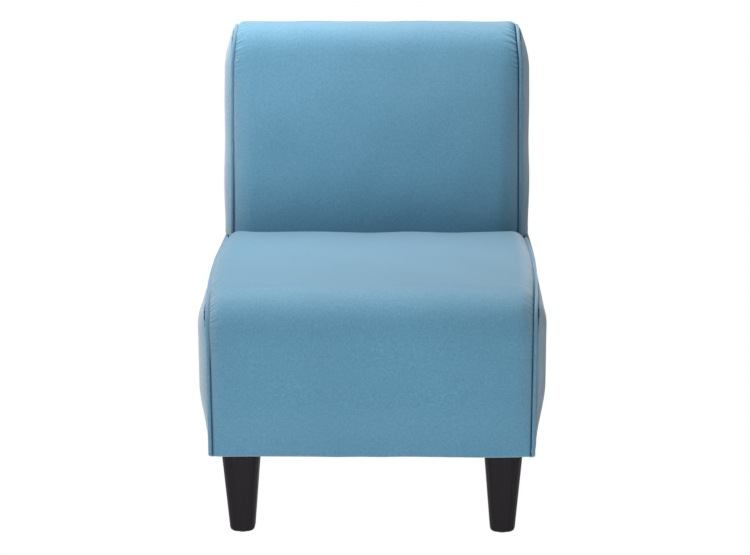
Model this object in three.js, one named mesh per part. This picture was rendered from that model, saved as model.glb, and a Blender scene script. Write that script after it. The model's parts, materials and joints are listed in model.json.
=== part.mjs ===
// Slipper chair: an armless chair with a waterfall seat and a reclined block back, fully
// upholstered with welted seams, on four tapered legs. Millimetres, Z up, facing -Y.
//
// The upholstery is drawn in the side view, y to the rear and z up, with y = 0 at the front
// seam. The finished chair is centred on its own box, standing on z = 0.

import * as THREE from 'three';

// Driving dimensions
const leg_height = 150;
const seam_height_front = 412;
const seam_rise_to_crevice = 4;
const back_corner_height = 809;
const side_swell_half_width = 293;
const side_swell = 23;
const seat_depth_at_seam = 480;
const back_recline = 12.4;
const back_rear_slope = 2.85;
const back_top_slope = 8;
const back_top_depth = 107;
const waterfall_radius = 55;
const back_front_radius = 60;
const back_rear_radius = 45;
const crevice_radius = 8;
const tuck_depth = 28;
const crevice_gap = 1.8;
const rear_seam_drop = 52;
const clearance = 0.3;

// How far the covers stand out between the seams
const seat_bow = 14;
const seat_edge_crown = 15;
const seat_dome = 9;
const front_edge_crown = 12;
const front_dome = 8;
const hem_crown = 3;
const back_edge_crown = 15;
const back_foot_dome = 10;
const back_lumbar_dome = 15;
const back_shoulder_crown = 8;
const back_top_crown = 5;
const back_rear_crown = 3;
const crown_reach = 40;
const side_front_reach = 80;
const side_top_reach = 50;
const side_rear_reach = 60;
const side_hem_swell = 5;
const side_waist_height = 110;
const back_side_swell = 17;
const back_side_reach = 55;
const back_side_top_reach = 90;
const back_side_foot_swell = 16;

// Covers, welts and padding
const cover_thickness = 3;
const welt_radius = 3;
const pad_inset = 14;
const pad_fill_share = 0.6;
const dust_cover_thickness = 1.2;
const insulator_thickness = 3;
const insulator_inset = 26;

// Frame
const board = 18;
const front_padding = 12;
const seat_build_depth = 85;
const rear_rail_setback = 7;
const post_width = 60;
const post_top_drop = 47;
const block_leg = 75;
const block_height = 60;
const back_rail_height = 60;
const back_rail_depth = 20;
const lower_back_rail_rise = 28;

// Springs and webbing
const spring_count = 4;
const spring_side_margin = 84;
const spring_swing = 27;
const spring_arch = 10;
const spring_loops = 12;
const wire_radius = 1.9;
const clip_width = 14;
const clip_gauge = 1.3;
const clip_tail = 8;
const clip_lip = 2.5;
const web_count = 3;
const web_width = 50;
const web_thickness = 1.8;
const web_end_inset = 5;

// Legs
const leg_top_width = 66;
const leg_foot_width = 41;
const leg_corner_share = 0.3;
const leg_foot_round = 6;
const leg_setback = 20;
const leg_side_setback = 15;
const glide_radius = 12;
const glide_face_radius = 10;
const glide_height = 3;
const glide_bevel = 1.2;
const bolt_radius = 4;
const bolt_length = 30;
const plate_size = 44;
const plate_thickness = 2.5;

// Finishes
const velvet = new THREE.MeshStandardMaterial({ color: 0x6f9dbb, roughness: 0.9, metalness: 0 });
const foam = new THREE.MeshStandardMaterial({ color: 0xe6dcc0, roughness: 0.95, metalness: 0 });
const wadding = new THREE.MeshStandardMaterial({ color: 0xeceae4, roughness: 1, metalness: 0 });
const plywood = new THREE.MeshStandardMaterial({ color: 0xc9a877, roughness: 0.75, metalness: 0 });
const espresso = new THREE.MeshStandardMaterial({ color: 0x211d1f, roughness: 0.4, metalness: 0 });
const steel = new THREE.MeshStandardMaterial({ color: 0x8d9094, roughness: 0.35, metalness: 1 });
const cambric = new THREE.MeshStandardMaterial({ color: 0x1b1b1d, roughness: 0.95, metalness: 0 });
const felt = new THREE.MeshStandardMaterial({ color: 0x8a857c, roughness: 1, metalness: 0 });
const elastic = new THREE.MeshStandardMaterial({ color: 0x3a3c40, roughness: 0.85, metalness: 0 });
const nylon = new THREE.MeshStandardMaterial({ color: 0x2a2a2c, roughness: 0.5, metalness: 0 });

// Worked-out heights and places
const radians = THREE.MathUtils.degToRad;
const recline = radians(back_recline);
const rear_slope = radians(back_rear_slope);
const top_slope = radians(back_top_slope);
const seam_height_crevice = seam_height_front + seam_rise_to_crevice;
const seam_half_width = side_swell_half_width - side_swell;
const panel_inset = welt_radius + clearance;
const panel_half_width = seam_half_width - panel_inset;
const padding_depth = cover_thickness + 3 * clearance;
const hem_height = leg_height + clearance;
const frame_bottom = hem_height + dust_cover_thickness + clearance;
const rail_top = seam_height_front - seat_build_depth;
const clip_seat = rail_top + clearance;
const wire_height = clip_seat + clip_gauge + clearance + wire_radius;
const insulator_base = wire_height + spring_arch + wire_radius + clearance;
const foam_base = insulator_base + insulator_thickness + clearance;

// Corners of the back block
const crevice = { y: seat_depth_at_seam, z: seam_height_crevice };
const back_front_corner = {
  y: crevice.y + (back_corner_height - crevice.z) * Math.tan(recline),
  z: back_corner_height,
  r: back_front_radius,
};
const back_rear_corner = {
  y: back_front_corner.y + back_top_depth,
  z: back_corner_height - back_top_depth * Math.tan(top_slope),
  r: back_rear_radius,
};
const hem_rear = {
  y: back_rear_corner.y - (back_rear_corner.z - hem_height) * Math.tan(rear_slope),
  z: hem_height,
};
const on_recline = (z) => ({ y: crevice.y + (z - crevice.z) * Math.tan(recline), z });
const on_rear = (z) => ({ y: hem_rear.y + (z - hem_rear.z) * Math.tan(rear_slope), z });
const crevice_rear = on_rear(crevice.z);
const depth_at_hem = hem_rear.y;

// Places of the rails and legs
const front_rail_face = front_padding;
const rear_rail_face = depth_at_hem - rear_rail_setback;
const rail_inner_half_width = panel_half_width - board;
const leg_half_spacing = seam_half_width - leg_side_setback - leg_top_width / 2;
const front_leg_y = leg_setback + leg_top_width / 2;
const rear_leg_y = depth_at_hem - leg_setback - leg_top_width / 2;

const chair = new THREE.Group();

// Adds one named piece to the chair
function add(name, geometry, material, position = new THREE.Vector3()) {
  const mesh = new THREE.Mesh(geometry, material);
  mesh.name = name;
  mesh.position.copy(position);
  chair.add(mesh);
  return mesh;
}

// Closed surface from points and faces, turned to face outwards
function solid(points, faces) {
  let volume = 0;
  const a = new THREE.Vector3();
  for (let i = 0; i < faces.length; i += 3) {
    a.crossVectors(points[faces[i]], points[faces[i + 1]]);
    volume += a.dot(points[faces[i + 2]]);
  }
  const ordered = faces.slice();
  for (let i = 0; volume < 0 && i < faces.length; i += 3) {
    [ordered[i], ordered[i + 2]] = [faces[i + 2], faces[i]];
  }
  const geometry = new THREE.BufferGeometry().setFromPoints(points);
  geometry.setIndex(ordered);
  geometry.computeVertexNormals();
  return geometry;
}

// Closed solid between two matching grids of points
function slab(outer, inner) {
  const rows = outer.length;
  const columns = outer[0].length;
  const points = [...outer.flat(), ...inner.flat()];
  const faces = [];
  const at = (side, row, column) => (side * rows + row) * columns + column;
  const quad = (a, b, c, d) => faces.push(a, b, c, a, c, d);
  for (let r = 0; r < rows - 1; r += 1) {
    for (let c = 0; c < columns - 1; c += 1) {
      quad(at(0, r, c), at(0, r, c + 1), at(0, r + 1, c + 1), at(0, r + 1, c));
      quad(at(1, r, c), at(1, r + 1, c), at(1, r + 1, c + 1), at(1, r, c + 1));
    }
  }
  const last_row = rows - 1;
  for (let c = 0; c < columns - 1; c += 1) {
    quad(at(0, 0, c + 1), at(0, 0, c), at(1, 0, c), at(1, 0, c + 1));
    quad(at(0, last_row, c), at(0, last_row, c + 1), at(1, last_row, c + 1), at(1, last_row, c));
  }
  const last = columns - 1;
  for (let r = 0; r < rows - 1; r += 1) {
    quad(at(0, r, 0), at(0, r + 1, 0), at(1, r + 1, 0), at(1, r, 0));
    quad(at(0, r + 1, last), at(0, r, last), at(1, r, last), at(1, r + 1, last));
  }
  return solid(points, faces);
}

// Closed solid through a stack of like rings, capped at both ends
function loft(rings) {
  const count = rings[0].length;
  const points = rings.flat();
  const faces = [];
  for (let r = 0; r < rings.length - 1; r += 1) {
    for (let i = 0; i < count; i += 1) {
      const next = (i + 1) % count;
      const low = r * count;
      const high = low + count;
      faces.push(low + i, low + next, high + next, low + i, high + next, high + i);
    }
  }
  const top = (rings.length - 1) * count;
  for (let i = 1; i < count - 1; i += 1) {
    faces.push(0, i + 1, i, top, top + i, top + i + 1);
  }
  return solid(points, faces);
}

// Side view outline cut from a board that lies between two x places
function side_cut(outline, x_from, x_to) {
  const shape = new THREE.Shape(outline.map((p) => new THREE.Vector2(p.y, p.z)));
  const geometry = new THREE.ExtrudeGeometry(shape, { depth: x_to - x_from, bevelEnabled: false });
  const turn = new THREE.Matrix4().makeBasis(
    new THREE.Vector3(0, 1, 0),
    new THREE.Vector3(0, 0, 1),
    new THREE.Vector3(1, 0, 0),
  );
  geometry.applyMatrix4(turn);
  geometry.translate(x_from, 0, 0);
  return geometry;
}

// Box given by its two corners
function board_between(low, high) {
  const size = high.clone().sub(low);
  const middle = low.clone().add(high).multiplyScalar(1 / 2);
  return new THREE.BoxGeometry(size.x, size.y, size.z).translate(middle.x, middle.y, middle.z);
}

// Side view profile through corners with rounded turns. Each sample has its place, its
// outward normal and its station, which counts corners along the profile.
function profile(corners, line_steps, arc_steps) {
  const samples = [];
  const heading = (a, b) => Math.atan2(b.z - a.z, b.y - a.y);
  const push = (y, z, angle, station) => {
    samples.push({ y, z, ny: -Math.sin(angle), nz: Math.cos(angle), station });
  };
  let start = corners[0];
  for (let i = 0; i < corners.length - 1; i += 1) {
    const from = corners[i];
    const to = corners[i + 1];
    const along = heading(from, to);
    const after = i + 2 < corners.length ? heading(to, corners[i + 2]) : along;
    const turn = along - after;
    const trim = to.r ? to.r * Math.tan(turn / 2) : 0;
    const end = { y: to.y - trim * Math.cos(along), z: to.z - trim * Math.sin(along) };
    const steps = line_steps[i];
    for (let s = i === 0 ? 0 : 1; s <= steps; s += 1) {
      const t = s / steps;
      push(start.y + (end.y - start.y) * t, start.z + (end.z - start.z) * t, along, i + t);
    }
    if (to.r) {
      const centre = { y: end.y + to.r * Math.sin(along), z: end.z - to.r * Math.cos(along) };
      for (let s = 1; s <= arc_steps[i]; s += 1) {
        const angle = along - turn * (s / arc_steps[i]);
        push(centre.y - to.r * Math.sin(angle), centre.z + to.r * Math.cos(angle), angle, i + 1);
      }
    }
    start = samples.at(-1);
  }
  return samples;
}

// Sample between two others, at a height
function crossing(a, b, z) {
  const t = (z - a.z) / (b.z - a.z);
  const mix = (key) => a[key] + (b[key] - a[key]) * t;
  return { y: mix('y'), z, ny: mix('ny'), nz: mix('nz'), station: mix('station') };
}

// Run of a profile that lies above a height, from where it crosses that height going up
function run_above(samples, z) {
  const first = samples.findIndex((sample) => sample.z > z);
  return [crossing(samples[first - 1], samples[first], z), ...samples.slice(first)];
}

// Run of a profile below a height, up to where it first crosses it
function run_below(samples, z) {
  const first = samples.findIndex((sample) => sample.z > z);
  return [...samples.slice(0, first), crossing(samples[first - 1], samples[first], z)];
}

// Place on the side view, a depth inside the profile
function inside(sample, depth) {
  return { y: sample.y - sample.ny * depth, z: sample.z - sample.nz * depth };
}

// Straight line or bent line in the side view, cut into steps
function polyline(corners, steps) {
  const points = [corners[0]];
  for (let i = 0; i < corners.length - 1; i += 1) {
    for (let s = 1; s <= steps[i]; s += 1) {
      const t = s / steps[i];
      points.push({
        y: corners[i].y + (corners[i + 1].y - corners[i].y) * t,
        z: corners[i].z + (corners[i + 1].z - corners[i].z) * t,
      });
    }
  }
  return points;
}

// Value between named stations of a profile, eased from one to the next
function eased(stations, values, at) {
  let i = 0;
  while (i < stations.length - 2 && at > stations[i + 1]) {
    i += 1;
  }
  const t = THREE.MathUtils.smoothstep(at, stations[i], stations[i + 1]);
  return values[i] + (values[i + 1] - values[i]) * t;
}

// Rise from a seam: nothing at the seam, full at the reach, rounded between
function rise(distance, reach) {
  const t = THREE.MathUtils.clamp(distance / reach, 0, 1);
  return 1 - (1 - t) ** 2;
}

// Half width of the seat at its seams, which bow out between front and rear
function seat_half_width(y) {
  const t = THREE.MathUtils.clamp(y / depth_at_hem, 0, 1);
  return seam_half_width + seat_bow * Math.sin(Math.PI * t);
}

// Place a distance inside the rear face and a rise above the hem, along that face
function back_place(depth, up) {
  return {
    y: depth_at_hem + up * Math.sin(rear_slope) - depth * Math.cos(rear_slope),
    z: leg_height + up * Math.cos(rear_slope) + depth * Math.sin(rear_slope),
  };
}

// Crown of the back cover at a station and a distance from the side seam
const back_station_shares = [0, 0.13, 0.42, 0.8, 1, 2, 3];
const back_edges = [
  back_edge_crown, back_edge_crown, back_edge_crown, back_shoulder_crown, back_top_crown,
  back_rear_crown, back_rear_crown,
];
const back_domes = [
  back_foot_dome, back_foot_dome, back_lumbar_dome, back_shoulder_crown, 0, 0, 0,
];

function crown(edge, dome, x, half) {
  return edge * rise(half - Math.abs(x), crown_reach) + dome * (1 - (x / half) ** 2);
}

function back_crown(station, x) {
  const edge = eased(back_station_shares, back_edges, station);
  const dome = eased(back_station_shares, back_domes, station);
  return crown(edge, dome, x, seam_half_width);
}

// How far the seat stops short of the seam line of the back, at a place across the chair
function back_face_reach(x) {
  const swell = Math.abs(x) < seam_half_width ? back_crown(0, x) : 0;
  return Math.max(swell, panel_inset) / Math.cos(recline);
}

function back_point(sample, share, depth) {
  const x = share * panel_half_width;
  const out = back_crown(sample.station, x) - depth;
  return new THREE.Vector3(x, sample.y + sample.ny * out, sample.z + sample.nz * out);
}

// Seat cover: its front face and waterfall swell along the normal, its top swells upwards,
// and its rear edge follows the swell of the back
const seat_station_shares = [0, 0.5, 1, 2, 3];
const seat_edges = [
  hem_crown, front_edge_crown, seat_edge_crown, seat_edge_crown, seat_edge_crown,
];
const seat_domes = [0, front_dome, seat_dome, 0, 0];

function seat_point(sample, share, depth) {
  const half = seat_half_width(sample.y);
  const x = share * (half - panel_inset);
  const edge = eased(seat_station_shares, seat_edges, sample.station);
  const dome = eased(seat_station_shares, seat_domes, sample.station);
  const swell = crown(edge, dome, x, half);
  const top = sample.station > 1;
  const rear = THREE.MathUtils.smoothstep(sample.y, waterfall_radius, crevice.y - tuck_depth);
  const drawn = rear * (swell * Math.tan(recline) - back_face_reach(x));
  return new THREE.Vector3(
    x,
    sample.y - sample.ny * depth + (top ? drawn : sample.ny * swell),
    sample.z - sample.nz * depth + (top ? swell : sample.nz * swell),
  );
}

const across_shares = [0, 0.3, 0.58, 0.78, 0.89, 0.95, 0.98, 1];
const across = [...across_shares.slice(1).map((s) => -s).reverse(), ...across_shares];
const coarse_shares = [0, 0.58, 0.89, 0.95, 1];
const coarse = [...coarse_shares.slice(1).map((s) => -s).reverse(), ...coarse_shares];
const foam_shares = [0, 0.3, 0.58, 0.78, 0.89, 0.95, 1];
const foam_across = [...foam_shares.slice(1).map((s) => -s).reverse(), ...foam_shares];

// Grid of points over a profile
function grid(samples, shares, place, depth) {
  return samples.map((sample) => shares.map((share) => place(sample, share, depth)));
}

function straight_grid(points, shares) {
  return points.map((p) => shares.map((share) => (
    new THREE.Vector3(share * panel_half_width, p.y, p.z)
  )));
}

// Seat padding keeps to the straight frame, under a cover that bows out past it
function padding_point(sample, share, depth) {
  const limit = panel_half_width / (seat_half_width(sample.y) - panel_inset);
  return seat_point(sample, THREE.MathUtils.clamp(share, -limit, limit), depth);
}

// Seat cover and its padding
const seat_rear = { y: crevice.y - crevice_gap, z: crevice.z, r: crevice_radius };
const seat_rear_low = (z) => ({ y: seat_rear.y + (z - seat_rear.z) * Math.tan(recline), z });
const seat_corners = [
  { y: 0, z: hem_height },
  { y: 0, z: seam_height_front, r: waterfall_radius },
  seat_rear,
  seat_rear_low(seat_rear.z - tuck_depth),
];
const seat_profile = profile(seat_corners, [4, 7, 1], [7, 3]);
add('seat_cover', slab(
  grid(seat_profile, across, seat_point, 0),
  grid(seat_profile, across, seat_point, cover_thickness),
), velvet);

const foam_rear = { ...seat_rear, y: seat_rear.y - crevice_gap };
const foam_rear_low = seat_rear_low(foam_base);
foam_rear_low.y -= crevice_gap;
const foam_corners = [...seat_corners.slice(0, 2), foam_rear, foam_rear_low];
const foam_profile = run_above(profile(foam_corners, [4, 7, 1], [7, 3]), foam_base);
const foam_bed = polyline(
  [
    { y: front_padding, z: foam_base },
    { y: crevice.y - 2 * waterfall_radius, z: foam_base },
  ],
  [foam_profile.length - 1],
);
add('seat_foam', slab(
  grid(foam_profile, foam_across, padding_point, padding_depth),
  straight_grid(foam_bed, foam_across),
), foam);

const front_pad_profile = run_below(
  run_above(seat_profile, frame_bottom),
  foam_base - clearance,
);
add('front_pad', slab(
  grid(front_pad_profile, coarse, padding_point, padding_depth),
  straight_grid(
    front_pad_profile.map((sample) => ({ y: front_rail_face - clearance, z: sample.z })),
    coarse,
  ),
), wadding);

// Back covers and back foam
const back_low = on_recline(crevice.z - tuck_depth + 2 * clearance);
const rear_seam = on_rear(back_rear_corner.z - rear_seam_drop);
const back_corners = [back_low, back_front_corner, back_rear_corner];
const inside_back_profile = profile([...back_corners, rear_seam], [7, 2, 1], [6, 5]);
add('inside_back_cover', slab(
  grid(inside_back_profile, across, back_point, 0),
  grid(inside_back_profile, across, back_point, cover_thickness),
), velvet);

const outside_back_profile = profile([on_rear(rear_seam.z - clearance), hem_rear], [6], []);
outside_back_profile.forEach((sample) => {
  sample.station = 3;
});
add('outside_back_cover', slab(
  grid(outside_back_profile, coarse, back_point, 0),
  grid(outside_back_profile, coarse, back_point, cover_thickness),
), velvet);

const post_top = (back_rear_corner.z - leg_height) / Math.cos(rear_slope) - post_top_drop;
const post_face = padding_depth + post_width;
const web_face = post_face + clearance;
const back_foam_face = web_face + web_thickness + clearance;
const back_foam_corners = [
  on_recline(foam_base + 2 * cover_thickness),
  back_low,
  back_front_corner,
  back_rear_corner,
  on_rear(back_place(padding_depth, post_top).z + clearance),
];
const back_foam_profile = profile(back_foam_corners, [1, 7, 2, 1], [0, 6, 5]);
back_foam_profile.forEach((sample) => {
  sample.station = Math.max(0, sample.station - 1);
});
const back_foam_top = post_top + clearance;
const low_rise = (foam_base - leg_height + clearance) / Math.cos(rear_slope);
const foam_rise_steps = 11;
const back_foam_bed = polyline(
  [
    back_place(back_foam_face, low_rise),
    back_place(back_foam_face, back_foam_top),
    back_place(2 * padding_depth, back_foam_top),
  ],
  [foam_rise_steps, back_foam_profile.length - 1 - foam_rise_steps],
);
add('back_foam', slab(
  grid(back_foam_profile, coarse, back_point, padding_depth),
  straight_grid(back_foam_bed, coarse),
), foam);

// Side panels: a surface over the side view outline, given by its x at each place
const ring_shares = [1, 0.95, 0.88, 0.77, 0.62, 0.36];
const pad_ring_shares = [1, 0.8, 0.5];

function domed(outline, ring_list, outer_x, inner_x, side) {
  const centre = {
    y: outline.reduce((sum, p) => sum + p.y, 0) / outline.length,
    z: outline.reduce((sum, p) => sum + p.z, 0) / outline.length,
  };
  const points = [];
  const faces = [];
  const count = outline.length;
  const lift = (y, z, x_at) => points.push(new THREE.Vector3(side * x_at(y, z), y, z));
  [outer_x, inner_x].forEach((x_at) => {
    ring_list.forEach((share) => outline.forEach((p) => {
      lift(centre.y + (p.y - centre.y) * share, centre.z + (p.z - centre.z) * share, x_at);
    }));
    lift(centre.y, centre.z, x_at);
  });
  const layer = ring_list.length * count + 1;
  for (let r = ring_list.length - 1; r >= 0; r -= 1) {
    for (let i = 0; i < count; i += 1) {
      const a = r * count + i;
      const b = r * count + ((i + 1) % count);
      if (r < ring_list.length - 1) {
        faces.push(a, b, b + count, a, b + count, a + count);
        faces.push(layer + b, layer + a, layer + a + count);
        faces.push(layer + b, layer + a + count, layer + b + count);
      } else {
        faces.push(a, b, layer - 1);
        faces.push(layer + b, layer + a, 2 * layer - 1);
      }
      if (r === 0) {
        faces.push(b, a, layer + a, b, layer + a, layer + b);
      }
    }
  }
  return solid(points, faces);
}

// Seat side surface: full behind the front seam and below the top seam, drawn in to the hem
function seat_side_x(y, z) {
  const seam = seat_half_width(y);
  const top = seam_height_front + (crevice.z - seam_height_front) * (y / crevice.y);
  const from_front = rise(y, side_front_reach);
  const from_top = rise(top - z, side_top_reach);
  const from_rear = rise(on_rear(z).y - y, side_rear_reach);
  const waist = THREE.MathUtils.smoothstep(z, hem_height, hem_height + side_waist_height);
  const hem = side_hem_swell / side_swell;
  const full = (side_swell_half_width - seam) * (hem + (1 - hem) * waist);
  return seam + full * from_front * from_top * from_rear;
}

// Back side surface: full between the front, rear and top seams, a little less at its foot
function back_side_x(y, z) {
  const from_front = rise((y - on_recline(z).y) * Math.cos(recline), back_side_reach);
  const from_rear = rise((on_rear(z).y - y) * Math.cos(rear_slope), back_side_reach);
  const from_top = rise(back_front_corner.z - z, back_side_top_reach);
  const foot = THREE.MathUtils.smoothstep(z, crevice.z, crevice.z + back_side_reach);
  const full = back_side_foot_swell + (back_side_swell - back_side_foot_swell) * foot;
  return seam_half_width + full * from_front * from_rear * from_top;
}

// Padding behind a side cover fills a share of its swell
function pad_x(cover_x, seam_x) {
  return seam_x + (cover_x - seam_x) * pad_fill_share - padding_depth;
}

// Outline of a side panel: profile samples set in from the seam, closed by straight edges
function seat_side_outline(inset, seam_gap, drop) {
  const corners = [
    { y: 0, z: hem_height },
    { ...seat_corners[1], z: seam_height_front - drop },
    { y: crevice.y, z: crevice.z - drop },
  ];
  const front = profile(corners, [4, 6], [6]).map((sample) => inside(sample, inset));
  const rear_top = on_rear(crevice.z - drop - seam_gap);
  const rear_low = on_rear(hem_height + seam_gap);
  const at_rear = (p) => ({ y: p.y - (inset + drop) / Math.cos(rear_slope), z: p.z });
  front[0].z = hem_height + seam_gap;
  return [
    ...front,
    ...polyline(
      [
        { y: crevice.y + panel_inset, z: crevice.z - drop - seam_gap },
        at_rear(rear_top),
        at_rear(rear_low),
        front[0],
      ],
      [3, 5, 7],
    ).slice(0, -1),
  ];
}

function back_side_outline(inset, seam_gap) {
  const corners = [crevice, back_front_corner, back_rear_corner, crevice_rear];
  const front = profile(corners, [6, 1, 6], [5, 4]).map((sample) => inside(sample, inset));
  front[0] = { y: on_recline(crevice.z).y + inset / Math.cos(recline), z: crevice.z + seam_gap };
  front[front.length - 1] = {
    y: crevice_rear.y - inset / Math.cos(rear_slope),
    z: crevice.z + seam_gap,
  };
  return [...front, ...polyline([front.at(-1), front[0]], [3]).slice(1, -1)];
}

const half_gap = clearance / 2;
const sides = [['left', -1], ['right', 1]];
sides.forEach(([name, side]) => {
  add(`seat_side_cover_${name}`, domed(
    seat_side_outline(panel_inset, half_gap, 0),
    ring_shares,
    seat_side_x,
    (y, z) => seat_side_x(y, z) - cover_thickness,
    side,
  ), velvet);
  add(`back_side_cover_${name}`, domed(
    back_side_outline(panel_inset, half_gap),
    ring_shares,
    back_side_x,
    (y, z) => back_side_x(y, z) - cover_thickness,
    side,
  ), velvet);
  add(`seat_side_pad_${name}`, domed(
    seat_side_outline(pad_inset, pad_inset, tuck_depth - pad_inset + 2 * clearance),
    pad_ring_shares,
    (y, z) => pad_x(seat_side_x(y, z), seat_half_width(y)),
    () => panel_half_width + clearance,
    side,
  ), wadding);
  add(`back_side_pad_${name}`, domed(
    back_side_outline(pad_inset, pad_inset),
    pad_ring_shares,
    (y, z) => pad_x(back_side_x(y, z), seam_half_width),
    () => panel_half_width + clearance,
    side,
  ), wadding);
});

// Welts along the side seams of the seat and of the back
const welt_sides = 8;

function welt(samples, half_at, side) {
  return loft(samples.map((sample) => {
    const ring = [];
    for (let i = 0; i < welt_sides; i += 1) {
      const angle = (2 * Math.PI * i) / welt_sides;
      const out = welt_radius * Math.cos(angle);
      ring.push(new THREE.Vector3(
        side * (half_at(sample.y) + welt_radius * Math.sin(angle)),
        sample.y + sample.ny * out,
        sample.z + sample.nz * out,
      ));
    }
    return ring;
  }));
}

const seat_welt_end = { y: crevice.y - panel_inset, z: crevice.z };
const seat_welt_profile = profile([seat_corners[0], seat_corners[1], seat_welt_end], [3, 6], [6]);
const back_welt_profile = profile(
  [on_recline(crevice.z + welt_radius), back_front_corner, back_rear_corner, hem_rear],
  [6, 1, 8],
  [5, 4],
);
sides.forEach(([name, side]) => {
  add(`seat_welt_${name}`, welt(seat_welt_profile, seat_half_width, side), velvet);
  add(`back_welt_${name}`, welt(back_welt_profile, () => seam_half_width, side), velvet);
});

// Frame: rails, posts and corner blocks
const place = (x, y, z) => new THREE.Vector3(x, y, z);
add('front_rail', board_between(
  place(-panel_half_width, front_rail_face, frame_bottom),
  place(panel_half_width, front_rail_face + board, rail_top),
), plywood);
add('rear_rail', board_between(
  place(-rail_inner_half_width + clearance, rear_rail_face - board, frame_bottom),
  place(rail_inner_half_width - clearance, rear_rail_face, rail_top),
), plywood);

const side_rail_front = front_rail_face + board + clearance;
const side_rail_rear = back_place(post_face, 0).y - clearance;

function corner_block(side, corner_y, toward, leg_y) {
  const corner_x = side * (rail_inner_half_width - clearance);
  const plan = new THREE.Shape();
  plan.moveTo(corner_x, corner_y);
  plan.lineTo(corner_x - side * block_leg, corner_y);
  plan.lineTo(corner_x, corner_y + toward * block_leg);
  plan.closePath();
  const hole = new THREE.Path();
  hole.absarc(side * leg_half_spacing, leg_y, bolt_radius + clearance, 0, 2 * Math.PI);
  plan.holes.push(hole);
  const geometry = new THREE.ExtrudeGeometry(plan, {
    depth: block_height,
    bevelEnabled: false,
    curveSegments: 6,
  });
  return geometry.translate(0, 0, frame_bottom + plate_thickness + clearance);
}

const post_outline = [
  back_place(padding_depth, clearance + cover_thickness),
  back_place(padding_depth, post_top),
  back_place(post_face, post_top),
  back_place(post_face, clearance + cover_thickness),
];

function back_rail_outline(low) {
  return [
    back_place(back_rail_depth, low),
    back_place(back_rail_depth, low + back_rail_height),
    back_place(back_rail_depth + board, low + back_rail_height),
    back_place(back_rail_depth + board, low),
  ];
}

sides.forEach(([name, side]) => {
  const x_from = side < 0 ? -panel_half_width : rail_inner_half_width;
  const x_to = x_from + board;
  add(`side_rail_${name}`, board_between(
    place(x_from, side_rail_front, frame_bottom),
    place(x_to, side_rail_rear, rail_top),
  ), plywood);
  add(`back_post_${name}`, side_cut(post_outline, x_from, x_to), plywood);
  const front_corner = side_rail_front;
  const rear_corner = rear_rail_face - board - clearance;
  add(`corner_block_front_${name}`, corner_block(side, front_corner, 1, front_leg_y), plywood);
  add(`corner_block_rear_${name}`, corner_block(side, rear_corner, -1, rear_leg_y), plywood);
});
const back_rail_half = rail_inner_half_width - clearance;
const lower_back_rail_low = rail_top - leg_height + lower_back_rail_rise;
add('top_back_rail', side_cut(
  back_rail_outline(post_top - back_rail_height),
  -back_rail_half,
  back_rail_half,
), plywood);
add('lower_back_rail', side_cut(
  back_rail_outline(lower_back_rail_low),
  -back_rail_half,
  back_rail_half,
), plywood);

// Back webbing, stretched over the front edges of the posts
const web_half = panel_half_width - web_end_inset;
const web_low = lower_back_rail_low + back_rail_height;
const web_step = (post_top - web_low) / web_count;
for (let i = 0; i < web_count; i += 1) {
  const low = web_low + web_step * i + (web_step - web_width) / 2;
  add(`back_web_${i + 1}`, side_cut(
    [
      back_place(web_face, low),
      back_place(web_face, low + web_width),
      back_place(web_face + web_thickness, low + web_width),
      back_place(web_face + web_thickness, low),
    ],
    -web_half,
    web_half,
  ), elastic);
}

// Sinuous seat springs, from the middle of the front rail to the middle of the rear rail
const spring_front = front_rail_face + board / 2;
const spring_rear = rear_rail_face - board / 2;
const spring_end_share = 1 / 3;
const spring_span = 2 * (rail_inner_half_width - spring_side_margin);
const spring_pitch = spring_span / (spring_count - 1);

class SinuousWire extends THREE.Curve {
  getPoint(t) {
    const loops = -spring_end_share + (spring_loops + 2 * spring_end_share) * t;
    const angle = Math.PI * loops;
    const run = (loops - Math.sin(2 * angle) / (2 * Math.PI)) / spring_loops;
    const share = THREE.MathUtils.clamp(run, 0, 1);
    const arch = Math.sin(Math.PI * share) ** 2;
    return new THREE.Vector3(
      spring_swing * Math.sin(angle),
      spring_front + (spring_rear - spring_front) * share,
      wire_height + spring_arch * arch,
    );
  }
}

const wire_sides = 5;
const wire_section = [];
for (let i = 0; i < wire_sides; i += 1) {
  const angle = (2 * Math.PI * i) / wire_sides;
  wire_section.push(new THREE.Vector2(
    wire_radius * Math.cos(angle),
    wire_radius * Math.sin(angle),
  ));
}
const spring_geometry = new THREE.ExtrudeGeometry(new THREE.Shape(wire_section), {
  steps: 5 * (spring_loops + 1),
  extrudePath: new SinuousWire(),
});

// Clip in the side view: a tail on the rail and a lip closed over the wire
function clip(y, toward) {
  const wall = wire_radius + 2 * clearance;
  const top = wire_height + wall;
  const outline = [
    { y: y - toward * clip_tail, z: clip_seat },
    { y: y + toward * (wall + clip_gauge), z: clip_seat },
    { y: y + toward * (wall + clip_gauge), z: top + clip_gauge },
    { y: y - toward * clip_lip, z: top + clip_gauge },
    { y: y - toward * clip_lip, z: top },
    { y: y + toward * wall, z: top },
    { y: y + toward * wall, z: clip_seat + clip_gauge },
    { y: y - toward * clip_tail, z: clip_seat + clip_gauge },
  ];
  return side_cut(outline, -clip_width / 2, clip_width / 2);
}

for (let i = 0; i < spring_count; i += 1) {
  const at = place((i - (spring_count - 1) / 2) * spring_pitch, 0, 0);
  add(`seat_spring_${i + 1}`, spring_geometry, steel, at);
  add(`front_clip_${i + 1}`, clip(spring_front, 1), steel, at);
  add(`rear_clip_${i + 1}`, clip(spring_rear, -1), steel, at);
}

// Insulator over the springs
add('spring_insulator', board_between(
  place(
    -rail_inner_half_width + insulator_inset,
    side_rail_front + insulator_inset,
    insulator_base,
  ),
  place(
    rail_inner_half_width - insulator_inset,
    side_rail_rear + insulator_inset,
    insulator_base + insulator_thickness,
  ),
), felt);

// Legs with their hanger bolts, glides and plates
const leg_corner_steps = 4;

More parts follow.
